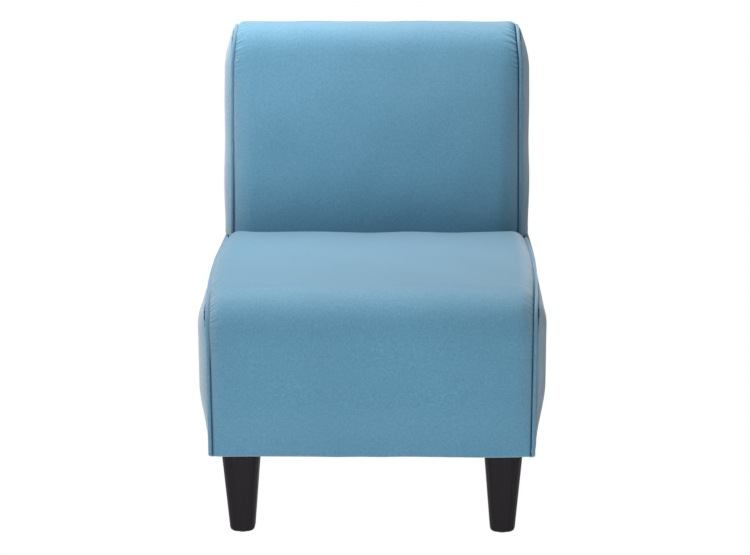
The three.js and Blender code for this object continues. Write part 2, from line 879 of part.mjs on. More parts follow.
function leg_ring(width, z) {
  const corner = width * leg_corner_share;
  const flat = width / 2 - corner;
  const ring = [];
  for (let quarter = 0; quarter < 4; quarter += 1) {
    for (let s = 0; s <= leg_corner_steps; s += 1) {
      const angle = (Math.PI / 2) * (quarter + s / leg_corner_steps);
      const sign_x = quarter === 0 || quarter === 3 ? 1 : -1;
      const sign_y = quarter < 2 ? 1 : -1;
      ring.push(place(
        sign_x * flat + corner * Math.cos(angle),
        sign_y * flat + corner * Math.sin(angle),
        z,
      ));
    }
  }
  return ring;
}

const leg_foot = glide_height + clearance;
const foot_steps = 3;

function leg_geometry() {
  const rings = [];
  const width_at = (z) => leg_foot_width + (leg_top_width - leg_foot_width) * (z / leg_height);
  for (let s = 0; s <= foot_steps; s += 1) {
    const angle = (Math.PI / 2) * (s / foot_steps);
    const z = leg_foot + leg_foot_round * (1 - Math.cos(angle));
    rings.push(leg_ring(width_at(z) - 2 * leg_foot_round * (1 - Math.sin(angle)), z));
  }
  rings.push(leg_ring(leg_top_width, leg_height));
  const bolt_ring = (z) => leg_ring(leg_top_width, z).map((p) => {
    const out = Math.hypot(p.x, p.y);
    return place((p.x * bolt_radius) / out, (p.y * bolt_radius) / out, z);
  });
  rings.push(bolt_ring(leg_height));
  rings.push(bolt_ring(leg_height + bolt_length));
  return loft(rings);
}

function plate_geometry() {
  const half = plate_size / 2;
  const plan = new THREE.Shape();
  plan.moveTo(-half, -half);
  plan.lineTo(half, -half);
  plan.lineTo(half, half);
  plan.lineTo(-half, half);
  plan.closePath();
  const hole = new THREE.Path();
  hole.absarc(0, 0, bolt_radius + clearance, 0, 2 * Math.PI);
  plan.holes.push(hole);
  return new THREE.ExtrudeGeometry(plan, {
    depth: plate_thickness,
    bevelEnabled: false,
    curveSegments: 6,
  });
}

const glide_profile = [
  new THREE.Vector2(0, 0),
  new THREE.Vector2(glide_face_radius, 0),
  new THREE.Vector2(glide_radius, glide_bevel),
  new THREE.Vector2(glide_radius, glide_height),
  new THREE.Vector2(0, glide_height),
];

sides.forEach(([name, side]) => {
  [['front', front_leg_y], ['rear', rear_leg_y]].forEach(([end, y]) => {
    const x = side * leg_half_spacing;
    add(`${end}_leg_${name}`, leg_geometry(), espresso, place(x, y, 0));
    add(`${end}_glide_${name}`, new THREE.LatheGeometry(glide_profile, 16).rotateX(Math.PI / 2),
      nylon, place(x, y, 0));
    add(`${end}_leg_plate_${name}`, plate_geometry(), steel, place(x, y, frame_bottom));
  });
});

// Dust cover under the frame, holed for the leg bolts
const dust_plan = new THREE.Shape();
const dust_half = panel_half_width - padding_depth;
const dust_front = front_rail_face - cover_thickness;
const dust_rear = rear_rail_face - cover_thickness;
dust_plan.moveTo(-dust_half, dust_front);
dust_plan.lineTo(dust_half, dust_front);
dust_plan.lineTo(dust_half, dust_rear);
dust_plan.lineTo(-dust_half, dust_rear);
dust_plan.closePath();
sides.forEach(([, side]) => {
  [front_leg_y, rear_leg_y].forEach((y) => {
    const hole = new THREE.Path();
    hole.absarc(side * leg_half_spacing, y, bolt_radius + clearance, 0, 2 * Math.PI);
    dust_plan.holes.push(hole);
  });
});
add('dust_cover', new THREE.ExtrudeGeometry(dust_plan, {
  depth: dust_cover_thickness,
  bevelEnabled: false,
  curveSegments: 6,
}).translate(0, 0, hem_height), cambric);

// Centre the chair on its own box, front to rear
const box = new THREE.Box3().setFromObject(chair);
chair.position.y = -(box.min.y + box.max.y) / 2;

export default chair;
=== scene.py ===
import json
import math

import bmesh
import bpy
import numpy as np
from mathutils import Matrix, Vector


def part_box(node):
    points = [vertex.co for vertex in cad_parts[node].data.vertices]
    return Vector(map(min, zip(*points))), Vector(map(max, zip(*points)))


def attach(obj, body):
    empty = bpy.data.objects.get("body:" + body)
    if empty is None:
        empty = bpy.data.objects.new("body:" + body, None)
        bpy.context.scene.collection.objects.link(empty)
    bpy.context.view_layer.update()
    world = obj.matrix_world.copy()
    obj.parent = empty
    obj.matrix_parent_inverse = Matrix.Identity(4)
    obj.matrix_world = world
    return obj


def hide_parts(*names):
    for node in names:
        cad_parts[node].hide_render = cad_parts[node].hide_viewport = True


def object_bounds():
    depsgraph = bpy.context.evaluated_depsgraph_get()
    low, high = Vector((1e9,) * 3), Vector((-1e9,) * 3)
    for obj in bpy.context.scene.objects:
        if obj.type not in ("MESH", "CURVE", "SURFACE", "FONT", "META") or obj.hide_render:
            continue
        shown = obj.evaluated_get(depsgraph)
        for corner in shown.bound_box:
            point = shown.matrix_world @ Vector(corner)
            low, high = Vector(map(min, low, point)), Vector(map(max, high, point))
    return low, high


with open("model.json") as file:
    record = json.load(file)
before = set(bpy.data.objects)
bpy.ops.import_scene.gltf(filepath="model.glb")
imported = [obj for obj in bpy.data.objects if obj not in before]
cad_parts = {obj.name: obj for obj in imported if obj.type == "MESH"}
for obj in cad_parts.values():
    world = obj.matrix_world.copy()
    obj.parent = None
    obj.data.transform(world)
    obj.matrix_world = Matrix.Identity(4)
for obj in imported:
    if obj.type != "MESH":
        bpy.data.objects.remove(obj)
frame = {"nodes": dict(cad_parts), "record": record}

bl_info = {
    "name": "Slipper chair",
    "version": (1, 0, 0),
    "blender": (4, 5, 0),
    "location": "3D View > Sidebar > Chair",
    "description": "Upholstered slipper chair: velvet covers, padding, tapered legs and its studio",
    "category": "Object",
}

MM = 0.001
CLEAR = 0.3 * MM
# Cloth that the deepest fold leaves
LEAST_CLOTH = 0.6 * MM
# Length over which the back cover eases into a bend
BACK_EASE = 22 * MM
# The seat cover and the seat foam end this far below and before the crevice
SEAT_TUCK, SEAT_SHORT = 28 * MM, 1.8 * MM
# Back post: depth with its webbing, and drop of its top below the corner
POST_AND_WEBBING, POST_DROP = 61.8 * MM, 47 * MM
# Corners tighter than this keep their edge when a cover eases
SHARP_RADIUS = 20 * MM
CAD_LOW, CAD_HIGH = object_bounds()
FRONT_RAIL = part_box("front_rail")
HEM_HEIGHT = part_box("seat_cover")[0].z
FOAM_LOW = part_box("seat_foam")[0].z
# The front seam lies before the rail by its padding, the side seams past it by their cloth
RAIL_BEHIND = 12 * MM
FRONT_SEAM_Y = FRONT_RAIL[0].y - RAIL_BEHIND
SEAM_HALF = FRONT_RAIL[1].x + 3.3 * MM
SIDES = (("left", -1), ("right", 1))


# Sizes and colours that a user would change

def sized(name, text, default):
    return bpy.props.FloatProperty(name=name, description=text, default=default, unit="LENGTH")


def leaning(name, text, degrees):
    return bpy.props.FloatProperty(
        name=name, description=text, default=math.radians(degrees), subtype="ANGLE")


def tinted(name, text, default):
    return bpy.props.FloatVectorProperty(
        name=name, description=text, subtype="COLOR", default=default)


class ChairCovers(bpy.types.PropertyGroup):
    seam_height: sized(
        "Front seam height", "Height of the welted seam where the seat turns down", 0.412)
    crevice_height: sized(
        "Crevice height", "Height of the side seam where the seat meets the back", 0.416)
    seat_depth: sized("Seat depth", "Front seam to crevice", 0.480)
    waterfall_radius: sized("Waterfall radius", "Turn of the seat over its front edge", 0.055)
    back_height: sized(
        "Back corner height", "Height where the face and the top of the back would meet", 0.809)
    back_recline: leaning("Back recline", "Lean of the face of the back", 12.4)
    rear_slope: leaning("Rear slope", "Lean of the rear face", 2.85)
    top_slope: leaning("Top slope", "Fall of the top of the back to the rear", 8)
    top_depth: sized("Top depth", "Depth of the top of the back between its corners", 0.107)
    top_front_radius: sized(
        "Top front radius", "Turn from the face of the back to its top", 0.060)
    top_rear_radius: sized("Top rear radius", "Turn from the top of the back to its rear", 0.045)
    cloth: sized("Cover thickness", "Velvet with its bonded backing", 0.003)
    welt_radius: sized("Welt radius", "Radius of the covered cord in the side seams", 0.003)
    pucker_height: sized(
        "Pucker height", "Height of the small gathers beside the side seams", 0.0026)
    pucker_pitch: sized("Pucker pitch", "Usual distance from one gather to the next", 0.0095)
    hem_turn: sized("Hem turn", "Radius at which the covers turn under the frame", 0.004)
    corner_pinch: sized(
        "Corner pinch", "How far the side seams are drawn in at the top of the back", 0.005)
    rear_fullness: sized(
        "Rear fullness", "How far the seat stands up where it meets the back", 0.004)


class ChairFinishes(bpy.types.PropertyGroup):
    velvet: tinted("Velvet", "Colour of the pile seen into", (0.099, 0.288, 0.428))
    espresso: tinted("Espresso", "Stain of the legs", (0.008, 0.006, 0.008))
    floor: tinted("Floor", "Colour of the studio floor", (0.8, 0.8, 0.8))


# Small helpers

def linear(code):
    """sRGB hex to linear."""
    parts = [int(code[i:i + 2], 16) / 255 for i in (0, 2, 4)]
    return [c / 12.92 if c <= 0.04045 else ((c + 0.055) / 1.055) ** 2.4 for c in parts]


def smooth(t):
    t = np.clip(t, 0, 1)
    return t * t * (3 - 2 * t)


def rise(distance, reach):
    """Nothing at the seam, full at the reach, rounded between."""
    t = np.clip(distance / reach, 0, 1)
    return 1 - (1 - t) ** 2


def between(stations, values, at):
    """Stations and values as arrays, the interval that each place is in and its share of it."""
    s, v = np.asarray(stations, float), np.asarray(values, float)
    at = np.clip(at, s[0], s[-1])
    i = np.clip(np.searchsorted(s, at, side="right") - 1, 0, len(s) - 2)
    return s, v, i, (at - s[i]) / (s[i + 1] - s[i])


def eased(stations, values, at):
    """Value between stations of a profile, eased from one to the next."""
    _, v, i, t = between(stations, values, at)
    return v[i] + (v[i + 1] - v[i]) * smooth(t)


def flowing(stations, values, at):
    """Value between stations on a smooth curve through all of them."""
    s, v, i, t = between(stations, values, at)
    slope = np.gradient(v, s)
    ends = t * (1 - t) * (s[i + 1] - s[i]) * ((1 - t) * slope[i] - t * slope[i + 1])
    return v[i] + (v[i + 1] - v[i]) * smooth(t) + ends


def slow(u, v, seed, low=0.09, high=0.24):
    """Slow unevenness of a stuffed surface, from -1 to 1, in nine waves of the lengths given."""
    rng = np.random.default_rng(seed)
    angle = rng.uniform(0, 2 * math.pi, 9)
    size = rng.uniform(low, high, 9)
    total = 0
    for a, s in zip(angle, size):
        phase = rng.uniform(0, 2 * math.pi)
        total += np.sin(2 * math.pi * (math.cos(a) / s * u + math.sin(a) / s * v) + phase)
    return total / 3 / 1.8


def puckers(along, away, seed, pitch, slant, reach=0.017):
    """Gathers that fan out from a seam, given the metres along it and away from it. Above zero is a
    fold, below zero the cloth that puffs out between two."""
    rng = np.random.default_rng(seed)
    span = float(np.max(along)) + 0.05
    total = np.zeros(np.broadcast(along, away).shape)
    at = -0.02
    while at < span:
        at += pitch * rng.uniform(0.7, 1.6)
        size = rng.uniform(0.3, 1)
        lean = slant * rng.uniform(0.6, 1.3)
        length = reach * rng.uniform(0.5, 1.2)
        width = pitch * rng.uniform(0.26, 0.38)
        offset = along - at - lean * away
        total += size * np.exp(-(offset / width) ** 2) * np.exp(-(away / length) ** 2)
    return total - 0.4 * np.exp(-(away / reach) ** 2)


def within_cloth(relief, cloth):
    """Relief of an outer face, never so low that a fold goes through the cloth."""
    return np.maximum(relief, LEAST_CLOTH - cloth)


def seam_dip(away):
    """A cover dives beside the welt that it is sewn to."""
    return 2.2 * MM * (1 - rise(away, 5 * MM))


# Side view of the upholstery, y to the rear and z up from the front seam

def relaxed(run, sharp, ease):
    """A stretched cover has no sudden start to a bend: averages a run over the length given, except
    at its ends and at its sharp corners."""
    along = distances(run)
    free = np.minimum(along, along[-1] - along)
    for at in sharp:
        free = np.minimum(free, np.abs(along - along[at]))
    reach = np.maximum(np.minimum(ease, 0.4 * free), 1e-6)[:, None]
    apart = along[None, :] - along[:, None]
    weight = np.exp(-0.5 * (apart / reach) ** 2) * np.gradient(along)[None, :]
    out = (weight / weight.sum(1, keepdims=True)) @ run
    out[:, 2:4] /= np.hypot(out[:, 2], out[:, 3])[:, None]
    return out


def profile(corners, step, ease=8 * MM):
    """Samples of a run through rounded corners: y, z, normal y, normal z and the station."""
    heading = lambda a, b: math.atan2(b[1] - a[1], b[0] - a[0])
    out, sharp = [], []
    start = corners[0]
    for i in range(len(corners) - 1):
        a, b = corners[i], corners[i + 1]
        along = heading(a, b)
        after = heading(b, corners[i + 2]) if i + 2 < len(corners) else along
        radius = b[2] if len(b) > 2 else 0
        turn = along - after
        trim = radius * math.tan(turn / 2)
        end = (b[0] - trim * math.cos(along), b[1] - trim * math.sin(along))
        steps = max(2, round(math.dist(start[:2], end) / step))
        for s in range(0 if i == 0 else 1, steps + 1):
            t = s / steps
            out.append((start[0] + (end[0] - start[0]) * t, start[1] + (end[1] - start[1]) * t,
                        -math.sin(along), math.cos(along), i + t))
        if radius:
            centre = (end[0] + radius * math.sin(along), end[1] - radius * math.cos(along))
            steps = max(3, round(abs(turn) * (radius + 0.012) / step))
            for s in range(1, steps + 1):
                angle = along - turn * s / steps
                ny, nz = -math.sin(angle), math.cos(angle)
                out.append((centre[0] + radius * ny, centre[1] + radius * nz, ny, nz, i + 1))
                if radius < SHARP_RADIUS:
                    sharp.append(len(out) - 1)
        else:
            sharp.append(len(out) - 1)
        start = out[-1]
    return relaxed(np.array(out), sharp, ease)


class Form:
    """The chair's side view, worked out once from the sizes."""

    def __init__(self, context):
        self.c = c = context.scene.chair_covers
        self.crevice = (c.seat_depth, c.crevice_height)
        lean = math.tan(c.back_recline)
        self.front_corner = (c.seat_depth + (c.back_height - c.crevice_height) * lean,
                             c.back_height, c.top_front_radius)
        self.rear_corner = (
            self.front_corner[0] + c.top_depth, c.back_height - c.top_depth * math.tan(c.top_slope),
            c.top_rear_radius)
        rise_of_rear = self.rear_corner[1] - HEM_HEIGHT
        self.hem_rear = (self.rear_corner[0] - rise_of_rear * math.tan(c.rear_slope), HEM_HEIGHT)
        self.inset = c.welt_radius + CLEAR
        self.padding_depth = c.cloth + 3 * CLEAR
        self.panel_half = SEAM_HALF - self.inset

    def back_place(self, depth, up):
        """Place a depth inside the rear face and a rise above the leg tops, along that face."""
        s, k = math.sin(self.c.rear_slope), math.cos(self.c.rear_slope)
        return (self.hem_rear[0] + up * s - depth * k, HEM_HEIGHT - CLEAR + up * k + depth * s)

    def on_recline(self, z):
        return self.crevice[0] + (z - self.crevice[1]) * math.tan(self.c.back_recline)

    def on_rear(self, z):
        return self.hem_rear[0] + (z - self.hem_rear[1]) * math.tan(self.c.rear_slope)

    def seat_half(self, y):
        return SEAM_HALF + 14 * MM * np.sin(np.pi * np.clip(y / self.hem_rear[0], 0, 1))

    def back_half(self, z):
        """Half width of the back at its side seams, drawn in a little at the top corners."""
        return SEAM_HALF - self.c.corner_pinch * smooth((z - self.c.back_height) / (90 * MM) + 1)

    @staticmethod
    def crown(edge, dome, x, half, reach=30 * MM):
        # Flat in the middle, rolled over beside the welt
        return edge * rise(half - np.abs(x), reach) + dome * (1 - (x / half) ** 4)

    def back_crown(self, station, x, half=SEAM_HALF):
        # Below the shoulder the face is one barrel, its lean growing evenly from foot to top
        face = np.clip(station, 0, 1)
        edge = flowing([0, 0.25, 0.5, 0.75, 1], [15 * MM, 18 * MM, 18 * MM, 16 * MM, 8 * MM], face)
        dome = flowing([0, 0.25, 0.5, 0.75, 1], [10 * MM, 14.5 * MM, 14 * MM, 9 * MM, 0], face)
        edge = edge - 2 * MM * smooth(station - 1)
        return self.crown(edge, dome, x, half, (44 - 24 * smooth((station - 0.85) / 0.3)) * MM)

    def seat_crown(self, station, x, half):
        stations = [0, 0.5, 1, 2, 3]
        edge = eased(stations, [3 * MM, 12 * MM, 15 * MM, 15 * MM, 15 * MM], station)
        dome = eased(stations, [0, 8 * MM, 9 * MM, 0, 0], station)
        return self.crown(edge, dome, x, half)

    def seat_corners(self):
        c = self.c
        rear_y = self.crevice[0] - SEAT_SHORT
        low = c.crevice_height - SEAT_TUCK
        return [(0, HEM_HEIGHT), (0, c.seam_height, c.waterfall_radius),
                (rear_y, c.crevice_height, 8 * MM),
                (rear_y + (low - c.crevice_height) * math.tan(c.back_recline), low)]

    def hem_tuck(self, z):
        """How far a cover has turned inwards at a height, near its hem."""
        left = np.clip(1 - (z - HEM_HEIGHT) / self.c.hem_turn, 0, 1)
        return self.c.hem_turn * (1 - np.sqrt(1 - left ** 2))

    def back_corners(self):
        low = self.c.crevice_height - 27.4 * MM
        seam = self.rear_corner[1] - 52 * MM
        return [(self.on_recline(low), low), self.front_corner, self.rear_corner,
                (self.on_rear(seam), seam)]


def across(count):
    """Shares across a panel, closer together towards the seams."""
    t = np.linspace(-1, 1, count)
    return np.sign(t) * (1 - (1 - np.abs(t)) ** 1.6)


def distances(run):
    steps = np.hypot(np.diff(run[:, 0]), np.diff(run[:, 1]))
    return np.concatenate([[0], np.cumsum(steps)])


def cut_at(run, height, keep_above):
    """Part of a run above or below the height where it first rises past it."""
    first = int(np.argmax(run[:, 1] > height))
    a, b = run[first - 1], run[first]
    there = a + (b - a) * (height - a[1]) / (b[1] - a[1])
    if keep_above:
        return np.vstack([there, run[first:]])
    return np.vstack([run[:first], there])


def line_grid(points, half, shares):
    """Straight grid across the chair through points of the side view."""
    points = np.asarray(points)
    grid = (shares[None, :] * half, points[:, :1], points[:, 1:])
    return np.stack(np.broadcast_arrays(*grid), -1)


def seat_surface(form, run, shares, depth, detail=True, limit=1.0):
    """Outer face of the seat: crowned, with its rear edge drawn to the swell of the back."""
    y, z, ny, nz, station = (run[:, i:i + 1] for i in range(5))
    c = form.c
    half = form.seat_half(y)
    x = np.clip(shares[None, :], -limit, limit) * (half - form.inset)
    swell = form.seat_crown(station, x, half)
    along = distances(run)[:, None]
    away = half - form.inset - np.abs(x)
    swell = swell + c.rear_fullness * smooth((y - 0.2) / 0.25) * rise(away, 0.045)
    if detail:
        relief = 1.2 * MM * slow(x, along, 11) * rise(away, 0.06) - seam_dip(away)
        corner = np.exp(-((station - 1) / 0.25) ** 2)
        amount = smooth((station - 0.5) / 0.4) * (0.35 + 0.65 * corner)
        for side, seed in ((-1, 21), (1, 22)):
            fold = puckers(along, away, seed, c.pucker_pitch * 0.75, slant=0.2)
            relief = relief - c.pucker_height * fold * (x * side > 0) * amount
        near_hem = np.exp(-(z - HEM_HEIGHT) / 0.02)
        wavy = 0.8 * MM * np.sin(x / 0.021 + 2 * np.sin(x / 0.05)) * near_hem
        swell = swell + within_cloth(relief + np.where(station < 1, wavy, 0), c.cloth)
    swell = swell - np.where(station < 1, form.hem_tuck(z), 0)
    rear = smooth((y - c.waterfall_radius)
                  / (form.crevice[0] - SEAT_TUCK - c.waterfall_radius))
    lean = c.back_recline
    face = np.where(np.abs(x) < SEAM_HALF, form.back_crown(np.zeros_like(x), x), 0)
    drawn = rear * (swell * math.tan(lean) - np.maximum(face, form.inset) / math.cos(lean))
    return np.stack([
        x,
        y - ny * depth + (1 - rear) * ny * swell + drawn,
        z - nz * depth + (1 - rear) * nz * swell + rear * swell], axis=-1)


def back_surface(form, run, shares, depth, detail=True):
    """Outer face of the back, over its top to the rear seam."""
    y, z, ny, nz, station = (run[:, i:i + 1] for i in range(5))
    c = form.c
    half = form.back_half(z)
    x = shares[None, :] * (half - form.inset)
    out = form.back_crown(station, x, half)
    along = distances(run)[:, None]
    if detail:
        away = half - form.inset - np.abs(x)
        ends = smooth(along / 0.08) * smooth((along[-1] - along) / 0.08)
        relief = 1.2 * MM * slow(x, along, 12) * rise(away, 0.06) * ends - seam_dip(away)
        shoulder = smooth((station - 0.85) / 0.12) * smooth((2.3 - station) / 0.5)
        amount = 0.12 + 0.88 * shoulder
        for side, seed, size in ((-1, 31, 0.7), (1, 32, 2.0)):
            fold = puckers(along, away, seed, c.pucker_pitch * 0.66, slant=0.38,
                           reach=0.015)
            relief = relief - size * c.pucker_height * fold * (x * side > 0) * amount
        out = out + within_cloth(relief, c.cloth)
    return np.stack([
        x,
        y + ny * (out - depth),
        z + nz * (out - depth)], axis=-1)


# Meshes of the soft pieces

def seat_side_x(form, y, z, detail=True):
    """Half width of the seat's side panels: full behind the front seam, drawn in to the hem."""
    c = form.c
    seam = form.seat_half(y)
    top = c.seam_height + (c.crevice_height - c.seam_height) * y / c.seat_depth
    from_front = rise(y, 80 * MM)
    from_top = rise(top - z, (50 - 28 * smooth((y - 0.25) / 0.15)) * MM)
    from_rear = rise(form.on_rear(z) - y, 30 * MM)
    waist = smooth((z - HEM_HEIGHT) / (110 * MM))
    hem = 5 / 23
    full = (CAD_HIGH.x - seam) * (hem + (1 - hem) * waist)
    swell = full * from_front * from_top * from_rear
    if detail:
        swell = swell * (1 + 0.05 * slow(y, z, 41, 0.12, 0.3))
    return seam + swell - form.hem_tuck(z)


def back_side_x(form, y, z, detail=True):
    """Half width of the back's side panels."""
    c = form.c
    from_front = rise((y - form.on_recline(z)) * math.cos(c.back_recline), 55 * MM)
    from_rear = rise((form.on_rear(z) - y) * math.cos(c.rear_slope), 55 * MM)
    from_top = rise(form.front_corner[1] - z, 90 * MM)
    foot = smooth((z - form.crevice[1]) / (55 * MM))
    full = (18 + foot) * MM
    swell = full * from_front * from_rear * from_top
    if detail:
        swell = swell * (1 + 0.06 * slow(y, z, 42, 0.1, 0.26))
    return form.back_half(z) + swell


def mesh_object(name, points, faces, uvs, crease_shade=None):
    """Object at the origin from points in the side view's frame, with its UV map in metres and its
    attribute of painted shade, which is 1 in the valley beside a welt."""
    points = np.asarray(points, float).reshape(-1, 3) + np.array([0, FRONT_SEAM_Y, 0])
    mesh = bpy.data.meshes.new(name)
    mesh.from_pydata(points.tolist(), [], faces)
    index = np.zeros(len(mesh.loops), int)
    mesh.loops.foreach_get("vertex_index", index)
    layer = mesh.uv_layers.new(name="cloth")
    layer.data.foreach_set("uv", np.asarray(uvs, float)[index].ravel())
    if crease_shade is not None:
        layer = mesh.attributes.new("crease_shade", "FLOAT", "POINT")
        layer.data.foreach_set("value", crease_shade)
    obj = bpy.data.objects.new(name, mesh)
    bpy.context.scene.collection.objects.link(obj)
    work = bmesh.new()
    work.from_mesh(mesh)
    bmesh.ops.recalc_face_normals(work, faces=work.faces)
    work.to_mesh(mesh)
    work.free()
    mesh.shade_smooth()
    return obj


def panel(name, outer, inner, along, left=None, right=None):
    """Closed cloth panel between two grids, with its UV map in metres across and along. left and
    right say for each row how strong the painted shade is in the valley at that seam."""
    rows, columns = outer.shape[:2]
    size = rows * columns
    at = np.arange(size).reshape(rows, columns)
    rim = np.concatenate([at[0], at[1:, -1], at[-1, -2::-1], at[-2:0:-1, 0]]).tolist()
    quads = np.stack([at[:-1, :-1], at[:-1, 1:], at[1:, 1:], at[1:, :-1]], -1).reshape(-1, 4)
    faces = quads.tolist() + (quads[:, ::-1] + size).tolist()
    faces += [(b, a, a + size, b + size) for a, b in zip(rim, rim[1:] + rim[:1])]
    lengthwise = np.broadcast_to(along[:, None], (rows, columns))
    uvs = np.stack([outer[..., 0], lengthwise], -1).reshape(-1, 2)
    points = np.concatenate([outer.reshape(-1, 3), inner.reshape(-1, 3)])
    crease_shade = None
    # Painted shade: darkens the cloth in the valley beside each side seam, by the strength given
    # for each row
    if left is not None:
        away = np.abs(outer[..., 0]).max(1, keepdims=True) - np.abs(outer[..., 0])
        valley_shade = np.where(outer[..., 0] < 0, left[:, None], right[:, None])
        shade_weight = valley_shade * np.exp(-(away / ((1.2 + 2 * valley_shade) * MM)) ** 2)
        crease_shade = np.tile(shade_weight.ravel(), 2)
    return mesh_object(name, points, faces, np.concatenate([uvs, uvs]), crease_shade)


def outline_panel(name, outline, rings, outer_x, inner_x, side, relief=None):
    """Closed side panel over an outline, given by its half width at each place. relief lowers the
    outer face by what it gives for the distance along the rim and away from it."""
    outline = np.asarray(outline)
    centre = outline.mean(0)
    count = len(outline)
    # Away from the rim the rings lose its small corners
    soft = outline
    for _ in range(14):
        soft = (np.roll(soft, 1, 0) + 2 * soft + np.roll(soft, -1, 0)) / 4
    ring = lambda s: centre + (soft + (outline - soft) * smooth((s - 0.9) * 10) - centre) * s
    flat = np.concatenate([ring(s) for s in rings] + [centre[None, :]])
    reach = np.linalg.norm(outline - centre, axis=1)
    away = np.concatenate([reach * (1 - s) for s in rings] + [[reach.min()]])
    steps = np.linalg.norm(np.diff(outline, axis=0), axis=1)
    along = np.append(np.tile(np.concatenate([[0], np.cumsum(steps)]), len(rings)), 0)
    lower = relief(along, away) if relief else 0
    under = inner_x(flat[:, 0], flat[:, 1])
    over = np.maximum(outer_x(flat[:, 0], flat[:, 1]) - lower, under + LEAST_CLOTH)
    layers = [np.column_stack([side * x, flat]) for x in (over, under)]
    size = len(rings) * count + 1
    at = np.arange(size - 1).reshape(-1, count)
    on = np.roll(at, -1, 1)
    quads = np.stack([at[:-1], on[:-1], on[1:], at[1:]], -1).reshape(-1, 4)
    tips = np.stack([at[-1], on[-1], np.full(count, size - 1)], -1)
    rim = np.stack([on[0], at[0], at[0] + size, on[0] + size], -1)
    sets = (quads, tips, quads[:, ::-1] + size, tips[:, ::-1] + size, rim)
    faces = [face for group in sets for face in group.tolist()]
    points = np.concatenate(layers)
    # Painted shade in a narrow band along the rim, in the valley beside the welt
    crease_shade = np.tile(np.exp(-(away / (1.6 * MM)) ** 2), 2) if relief else None
    return mesh_object(name, points, faces, points[:, 1:], crease_shade)


def resample(points, step):
    """The same closed outline with even steps, its corners kept."""
    out = []
    for a, b in zip(points, points[1:] + points[:1]):
        a, b = np.array(a), np.array(b)
        steps = max(1, round(math.dist(a, b) / step))
        out += [a + (b - a) * s / steps for s in range(steps)]
    return out


def inset_run(run, inset):
    return [(s[0] - s[2] * inset, s[1] - s[3] * inset) for s in run]


def seat_side_outline(form, inset, gap, drop=0.0, step=0.008):
    c = form.c
    run = inset_run(profile([(0, HEM_HEIGHT), (0, c.seam_height - drop, c.waterfall_radius),
                             (c.seat_depth, c.crevice_height - drop)], step), inset)
    top = c.crevice_height - drop - gap
    low = HEM_HEIGHT + gap
    run[0] = (run[0][0], low)
    back = (inset + drop) / math.cos(c.rear_slope)
    corners = [(c.seat_depth + 0.2 * form.inset, top), (form.on_rear(top) - back, top),
               (form.on_rear(low) - back, low)]
    return resample(run + corners, step)


def back_side_outline(form, inset, gap, step=0.008):
    c = form.c
    foot = c.crevice_height
    run = inset_run(profile([form.crevice, form.front_corner, form.rear_corner,
                             (form.on_rear(foot), foot)], step, BACK_EASE), inset)
    run[0] = (form.on_recline(foot) + inset / math.cos(c.back_recline), foot + gap)
    run[-1] = (form.on_rear(foot) - inset / math.cos(c.rear_slope), foot + gap)
    return resample(run, step)


def welt(name, run, half_at, side, radius, tuck, sides=16):
    """Covered cord along a seam, closed at both ends, its cloth drawn tight at uneven places."""
    along = distances(run)
    uneven = 1 + 0.05 * slow(along, 0 * along, 51, 0.02, 0.06)
    points, uvs = [], []
    for s, a, u in zip(run, along, uneven):
        for i in range(sides):
            angle = 2 * math.pi * i / sides
            out = radius * u * math.cos(angle)
            points.append((side * (half_at(s[0], s[1]) - tuck(s[1]) + radius * u * math.sin(angle)),
                           s[0] + s[2] * (out - tuck(s[1])), s[1] + s[3] * out))
            uvs.append((a, radius * angle))
    rows = len(run)
    faces = [(a + i, a + (i + 1) % sides, a + sides + (i + 1) % sides, a + sides + i)
             for a in range(0, (rows - 1) * sides, sides) for i in range(sides)]
    faces += [tuple(range(sides)), tuple(range((rows - 1) * sides, rows * sides))]
    return mesh_object(name, points, faces, uvs)


def finish_piece(obj, slot, *nodes):
    """Gives a piece the finish of its slot, its body and the CAD nodes that it stands for."""
    obj.data.materials.clear()
    obj.data.materials.append(material(slot))
    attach(obj, "root")
    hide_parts(*nodes)


# Finishes

def adjust(tree, made, inputs=(), **settings):
    """Sets a node's properties, then sets its inputs or links them to sockets. Inputs are given by
    name, with _ for a space, or by place."""
    for key, value in [*settings.items(), *dict(inputs).items()]:
        if isinstance(key, str) and hasattr(made, key):
            setattr(made, key, value)
            continue
        socket = made.inputs[key.replace("_", " ") if isinstance(key, str) else key]
        if isinstance(value, bpy.types.NodeSocket):
            tree.links.new(value, socket)
        else:
            socket.default_value = value
    return made


def node(tree, kind, inputs=(), **settings):
    return adjust(tree, tree.nodes.new(kind), inputs, **settings)


def blank(name):
    """New material: itself, its tree, its shader and the place in the object, in metres."""
    material = bpy.data.materials.new(name)
    material.use_nodes = True
    tree = material.node_tree
    tree.nodes.clear()
    shader = node(tree, "ShaderNodeBsdfPrincipled")
    node(tree, "ShaderNodeOutputMaterial", Surface=shader.outputs["BSDF"])
    return material, tree, shader, node(tree, "ShaderNodeTexCoord").outputs["Object"]


def ramp(tree, source, *stops):
    made = node(tree, "ShaderNodeValToRGB", Fac=source)
    for element, (place, colour) in zip(made.color_ramp.elements, stops):
        element.position = place
        element.color = (*colour, 1)
    return made.outputs["Color"]


def noise(tree, place, scale, detail, rough=0.5):
    return node(tree, "ShaderNodeTexNoise", Vector=place, Scale=scale, Detail=detail,
                Roughness=rough).outputs["Fac"]


def stretched(tree, place, scale):
    return node(tree, "ShaderNodeMapping", Vector=place, Scale=scale).outputs["Vector"]


def times(tree, a, b):
    return node(tree, "ShaderNodeMix", {0: 1.0, 6: a, 7: b}, data_type="RGBA",
                blend_type="MULTIPLY").outputs[2]


def spread(tree, value, low, high):
    return node(tree, "ShaderNodeMapRange", Value=value, To_Min=low, To_Max=high).outputs["Result"]


def bump(tree, height, strength, distance):
    return node(tree, "ShaderNodeBump", Height=height, Strength=strength,
                Distance=distance).outputs["Normal"]


def larger(tree, a, b):
    return node(tree, "ShaderNodeMath", {0: a, 1: b}, operation="MAXIMUM").outputs[0]


